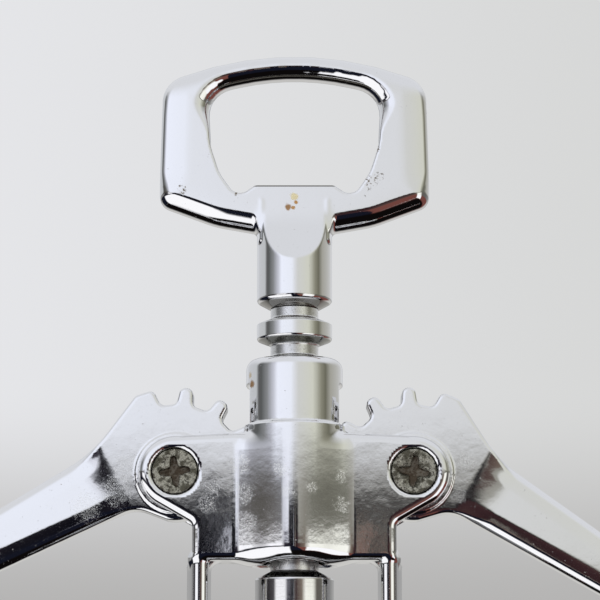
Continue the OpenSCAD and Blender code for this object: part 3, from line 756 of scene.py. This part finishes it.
chrome_right = plating("chrome_on_right_lever", 61.0, 0.04,
                       scuffed=[(30, -2.5, 92, 2.2), (28.5, -2.5, 86, 1.6)])


# %% Chrome plating on turned rings, dull in the grooves, with painted shade under each ring
def turned_plating(name, seed):
    material, shader, at = finish_of(name)
    x, y, z = split(at)
    radius = (x * x + y * y).math("SQRT", x * x + y * y)
    phase = (z - PIVOT_H - MESH_RISE) / PITCH
    phase = phase.math("FRACT", phase)
    # Painted shade: the underside of each ring, just above its groove, is darkened in colour.
    under_ring_shade = phase.between(0.13, 0.17) * phase.between(0.30, 0.27) * radius.between(4.2, 4.6)
    groove = radius.between(RING_R - 0.4, GROOVE_R + 0.3)
    rings = noise(at, 3.0, 2, w=seed, stretch=(0.05, 0.05, 1.0))
    cloud = noise(at, 0.5, 5, 0.65, w=seed + 2)
    speck = noise(at, 3.0, 3, 0.6, w=seed + 4)
    dirt = groove * speck.between(0.54, 0.72) * 0.8
    height = rings * 0.004 + noise(at, 2.2, 3, w=seed + 6) * 0.008 * groove
    bump = at.node("ShaderNodeBump", {}, {"Height": height, "Strength": 1.0, "Distance": MM})
    colour = tint(dirt, (0.77, 0.77, 0.77), (0.42, 0.40, 0.36))
    colour = tint(under_ring_shade * 0.9, colour, (0.10, 0.10, 0.08))
    rough = 0.07 + cloud * 0.05 + groove * 0.18 + dirt * 0.2
    feed(shader, Base_Color=colour, Metallic=1.0, Roughness=rough, Normal=bump)
    return material


chrome_rings = turned_plating("chrome_on_rings", 3.0)
chrome_holder = turned_plating("chrome_on_holder", 13.0)


# %% Plain drawn steel, and the dull screws with rust in their crosses
def drawn_steel(name, seed):
    material, shader, at = finish_of(name)
    grain = noise(at, 2.5, 4, 0.6, w=seed)
    bump = at.node("ShaderNodeBump", {}, {"Height": grain * 0.006, "Strength": 1.0, "Distance": MM})
    feed(shader, Base_Color=tint(grain, (0.60, 0.60, 0.59), (0.48, 0.47, 0.44)), Metallic=1.0,
         Roughness=0.20 + grain * 0.2, Normal=bump)
    return material


def aged_steel(name, seed):
    material, shader, at = finish_of(name)
    _, y, _ = split(at)
    deep = y.between(-PLATE_HALF + 0.55, -PLATE_HALF + 1.1)
    cloud = noise(at, 0.9, 4, 0.6, w=seed)
    speck = noise(at, 2.6, 5, 0.7, w=seed + 2)
    colour = tint(cloud.between(0.44, 0.56), (0.40, 0.39, 0.33), (0.11, 0.105, 0.08))
    colour = tint(speck.between(0.50, 0.62), colour, (0.05, 0.045, 0.035))
    colour = tint(deep * (0.5 + speck * 0.5), colour, (0.055, 0.033, 0.018))
    bump = at.node("ShaderNodeBump", {}, {"Height": speck * 0.26 + cloud * 0.16, "Strength": 1.0,
                                          "Distance": MM})
    feed(shader, Base_Color=colour, Metallic=0.95 - deep * 0.4, Roughness=0.12 + speck * 0.24,
         Normal=bump)
    return material


steel_rod = drawn_steel("drawn_steel", 5.0)
steel_worm = drawn_steel("worm_steel", 9.0)
steel_pivots = {side: aged_steel(f"{side}_pivot_steel", seed)
                for side, seed in (("left", 2.0), ("right", 7.0))}

# %% The worm, made by its tree and turned into a plain mesh
host = bpy.data.objects.new("worm_host", bpy.data.meshes.new("worm_host"))
bpy.context.scene.collection.objects.link(host)
tree = worm_tree("worm_by_rule", worm_sizes, steel_worm)
modifier = host.modifiers.new("worm", "NODES")
modifier.node_group = tree
for socket in tree.interface.items_tree:
    if socket.in_out == "INPUT":
        modifier[socket.identifier] = worm_sizes[socket.name]
bpy.context.view_layer.update()
shape = bpy.data.meshes.new_from_object(host.evaluated_get(bpy.context.evaluated_depsgraph_get()))
bpy.data.objects.remove(host)
shape.transform(Matrix.Scale(MM, 4))
shape.shade_smooth()
shape.name = "wire_worm"
worm = bpy.data.objects.new("wire_worm", shape)
bpy.context.scene.collection.objects.link(worm)
print("worm:", len(shape.polygons), "faces, box", [tuple(round(v / MM, 2) for v in c)
                                               for c in (worm.bound_box[0], worm.bound_box[6])])

# %% [markdown]
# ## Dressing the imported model
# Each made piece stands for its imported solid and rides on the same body. The rod is a plain
# cylinder that only shows between its neighbours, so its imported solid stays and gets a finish.

# %% Every piece on its body, with its finish
pieces = [
    (frame_casting, "frame", "frame", "cast_chrome", chrome_frame),
    (handle, "handle", "spindle", "cast_chrome", chrome_handle),
    (left_lever, "left_lever", "left_arm", "cast_chrome", chrome_left),
    (right_lever, "right_lever", "right_arm", "cast_chrome", chrome_right),
    (rings, "spindle_rings", "rack", "turned_chrome", chrome_rings),
    (holder, "worm_holder", "spindle", "turned_chrome", chrome_holder),
    (worm, "worm", "spindle", "bright_steel", steel_worm)]
for side in ("left", "right"):
    pieces += [
        (screws[side], f"{side}_pivot_screw", "frame", "dull_steel", steel_pivots[side]),
        (bushes[side], f"{side}_pivot_bush", "frame", "dull_steel", steel_pivots[side])]
for piece, node, body, slot, material in pieces:
    piece.data.materials.clear()
    piece.data.materials.append(material)
    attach(piece, body)
    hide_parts(node)
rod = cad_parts["core_rod"]
for slot in rod.material_slots:
    slot.material = steel_rod
print(len(pieces), "pieces stand for packed solids; the rod keeps its own")

# %% [markdown]
# ## The room
# A mirror shows the room it stands in, so the room is half of the finish. Daylight comes
# through a tall window in front, a little to the left; the room is dim on both sides and dark
# at bench height, where two white sheets catch the light; behind the piece all is pale. The
# legs of a tripod, a red-brown chair and two strips of wall stand in front. Only the mirror
# sees this room: the camera sees pale grey.


# %% The room as a function of direction
def tone(r, g, b):
    """The light that chrome returns as this screen colour."""
    return tuple((v / 255) ** 2.2 / 0.8 for v in (r, g, b))


def round_about(turn, stops):
    """Tones round the horizon, by the angle from the front in degrees, right positive."""
    share = (turn + 180) / 360
    ramp = [((angle + 180) / 360, tone(*colour)) for angle, colour in stops]
    return share.node("ShaderNodeValToRGB", {"stops": ramp}, {"Fac": share})


HIGH = [(-180, (150, 152, 156)), (-171, (150, 152, 156)), (-163, (206, 208, 212)),
        (-140, (192, 194, 198)), (-104, (186, 189, 191)), (-95, (92, 92, 92)),
        (-86, (88, 90, 90)), (-68, (132, 134, 136)), (-52, (190, 192, 202)),
        (-40, (236, 240, 252)), (-8, (232, 236, 246)), (1, (216, 218, 222)),
        (10, (204, 205, 202)), (44, (204, 205, 192)), (66, (136, 135, 120)),
        (80, (106, 105, 92)), (96, (160, 159, 150)), (125, (180, 180, 176)),
        (163, (206, 207, 210)), (171, (150, 152, 156))]
MIDDLE = [(-180, (120, 120, 122)), (-150, (170, 170, 168)), (-118, (104, 102, 100)),
          (-100, (70, 68, 65)), (-66, (78, 75, 70)), (-44, (86, 84, 82)), (-29, (98, 97, 98)),
          (-24, (200, 202, 212)), (-13, (228, 230, 240)), (-6, (196, 198, 204)),
          (-2.4, (172, 172, 172)), (1.6, (136, 135, 130)), (8, (152, 151, 144)),
          (20, (132, 130, 122)), (38, (104, 103, 94)), (60, (98, 97, 88)), (92, (104, 104, 94)),
          (118, (128, 128, 120)), (150, (170, 170, 168))]
LOW = [(-150, (150, 150, 150)), (-104, (124, 123, 124)), (-84, (44, 42, 44)),
       (-62, (74, 72, 76)), (-54, (250, 250, 254)), (-28, (250, 250, 254)),
       (-20, (52, 48, 56)), (-2, (16, 17, 22)), (6, (60, 42, 44)), (22, (116, 104, 94)),
       (33, (250, 250, 242)), (56, (244, 244, 234)), (68, (92, 88, 82)),
       (100, (98, 97, 94)), (150, (150, 150, 150))]


def room(scene):
    world = bpy.data.worlds.new("studio")
    scene.world = world
    world.use_nodes = True
    tree = world.node_tree
    x, y, z = split(add_node(tree, "ShaderNodeTexCoord", out=0))
    turn = x.math("ARCTAN2", x, -y) * math.degrees(1)
    rise = z.math("ARCSINE", z) * math.degrees(1)
    light = round_about(turn, MIDDLE)
    light = tint(rise.between(5.9, 7.8), light, round_about(turn, HIGH))
    spike = turn.between(-14, -10) * turn.between(10, 6) * rise.between(6.3, 5.7)
    light = tint(spike, light, tone(16, 15, 20))
    light = tint(rise.between(5.1, 4.75), light, round_about(turn, LOW))
    bright_wall = turn.between(-1.78, -1.66) * turn.between(-1.0, -1.2) * rise.between(5.6, 5.1)
    light = tint(bright_wall, light, tone(196, 198, 208))
    grey_wall = turn.between(1.0, 1.2) * turn.between(2.6, 2.4) * rise.between(5.6, 5.1)
    light = tint(grey_wall, light, tone(140, 136, 128))
    tripod = turn.between(-2.55, -2.45) * turn.between(-1.78, -1.98) * (rise + turn).between(4.4, 3.8)
    tripod = tripod + turn.between(1.7, 1.85) * turn.between(2.3, 2.15) * rise.between(5.4, 5.1)
    light = tint(tripod, light, tone(12, 12, 22))
    chair = turn.between(1.32, 1.40) * turn.between(1.66, 1.58) * rise.between(5.4, 4.9)
    light = tint(chair, light, tone(122, 76, 66))
    bench = tint((turn + rise * 0.5).between(0, 2), tone(26, 28, 38), tone(112, 70, 64))
    bench = tint(rise.between(-34, -44), bench, tone(20, 18, 18))
    slanted = rise + turn.between(-4, 4) * 9
    left_sheet = turn.between(-94, -86) * turn.between(-8, -12) * rise.between(-66, -60)
    left_sheet = left_sheet * rise.between(-6, -10)
    right_sheet = turn.between(25, 29) * turn.between(66, 60) * rise.between(-39, -35)
    right_sheet = right_sheet * rise.between(-8, -12)
    light = tint(slanted.between(0.5, -3) * (1 - left_sheet) * (1 - right_sheet), light, bench)
    light = tint(left_sheet + right_sheet, light, tone(252, 252, 254))
    light = tint(rise.between(17, 44), light, tone(212, 214, 218))
    back = y.between(0.60, 0.85) * rise.between(6, -8)
    light = tint(back, light, tone(190, 189, 186))
    seen = add_node(tree, "ShaderNodeLightPath", out=0)
    # Painted shade on the backdrop: the grey the camera sees is lighter on the left and darker towards
    # the bottom.
    backdrop_painted_shade = tint(x.between(-0.2, 0.2), (0.79, 0.795, 0.82), (0.67, 0.675, 0.67))
    backdrop_painted_shade = tint(z.between(0.15, 0.05), backdrop_painted_shade, (0.46, 0.455, 0.45))
    colour = tint(seen, light, backdrop_painted_shade)
    background = tree.nodes["Background"]
    tree.links.new(colour.socket, background.inputs["Color"])
    background.inputs["Strength"].default_value = 1.0


scene = bpy.context.scene
room(scene)

# %% A plain pale floor
floor_mesh = bpy.data.meshes.new("floor")
side = 1.2
floor_mesh.from_pydata([(-side, -side, 0), (side, -side, 0), (side, side, 0), (-side, side, 0)],
                       [], [(0, 1, 2, 3)])
floor = bpy.data.objects.new("floor", floor_mesh)
scene.collection.objects.link(floor)
material, shader, at = finish_of("floor_paper")
feed(shader, Base_Color=tint(noise(at, 0.02), (0.72, 0.72, 0.74), (0.68, 0.68, 0.68)), Roughness=0.9)
floor_mesh.materials.append(material)
floor.visible_glossy = False


# %% Soft lamps
def lamp(name, place, aim, size, watts, colour):
    data = bpy.data.lights.new(name, "AREA")
    data.shape, data.size, data.energy, data.color = "DISK", size, watts, colour
    made = bpy.data.objects.new(name, data)
    made.location = place
    made.rotation_euler = (Vector(aim) - Vector(place)).to_track_quat("-Z", "Y").to_euler()
    made.visible_glossy = False
    scene.collection.objects.link(made)


middle = (0, 0, 0.09)
lamp("window_side", (-0.5, -0.6, 0.7), middle, 0.5, 6, (0.93, 0.96, 1.0))
lamp("room_side", (0.7, -0.2, 0.5), middle, 0.6, 3, (1.0, 0.97, 0.92))

# %% The camera, low in front and tilted up along the spindle
camera = bpy.data.cameras.new("camera")
camera.lens, camera.sensor_width = 138.2, 36
camera.shift_y = 0.15
camera.dof.use_dof = False
view_from = bpy.data.objects.new("camera", camera)
view_from.location = (0.00097, -0.400, 0.0445)
view_from.rotation_euler = (math.pi / 2 + 0.15, 0, 0)
scene.collection.objects.link(view_from)
scene.camera = view_from
scene.view_settings.view_transform = "Standard"
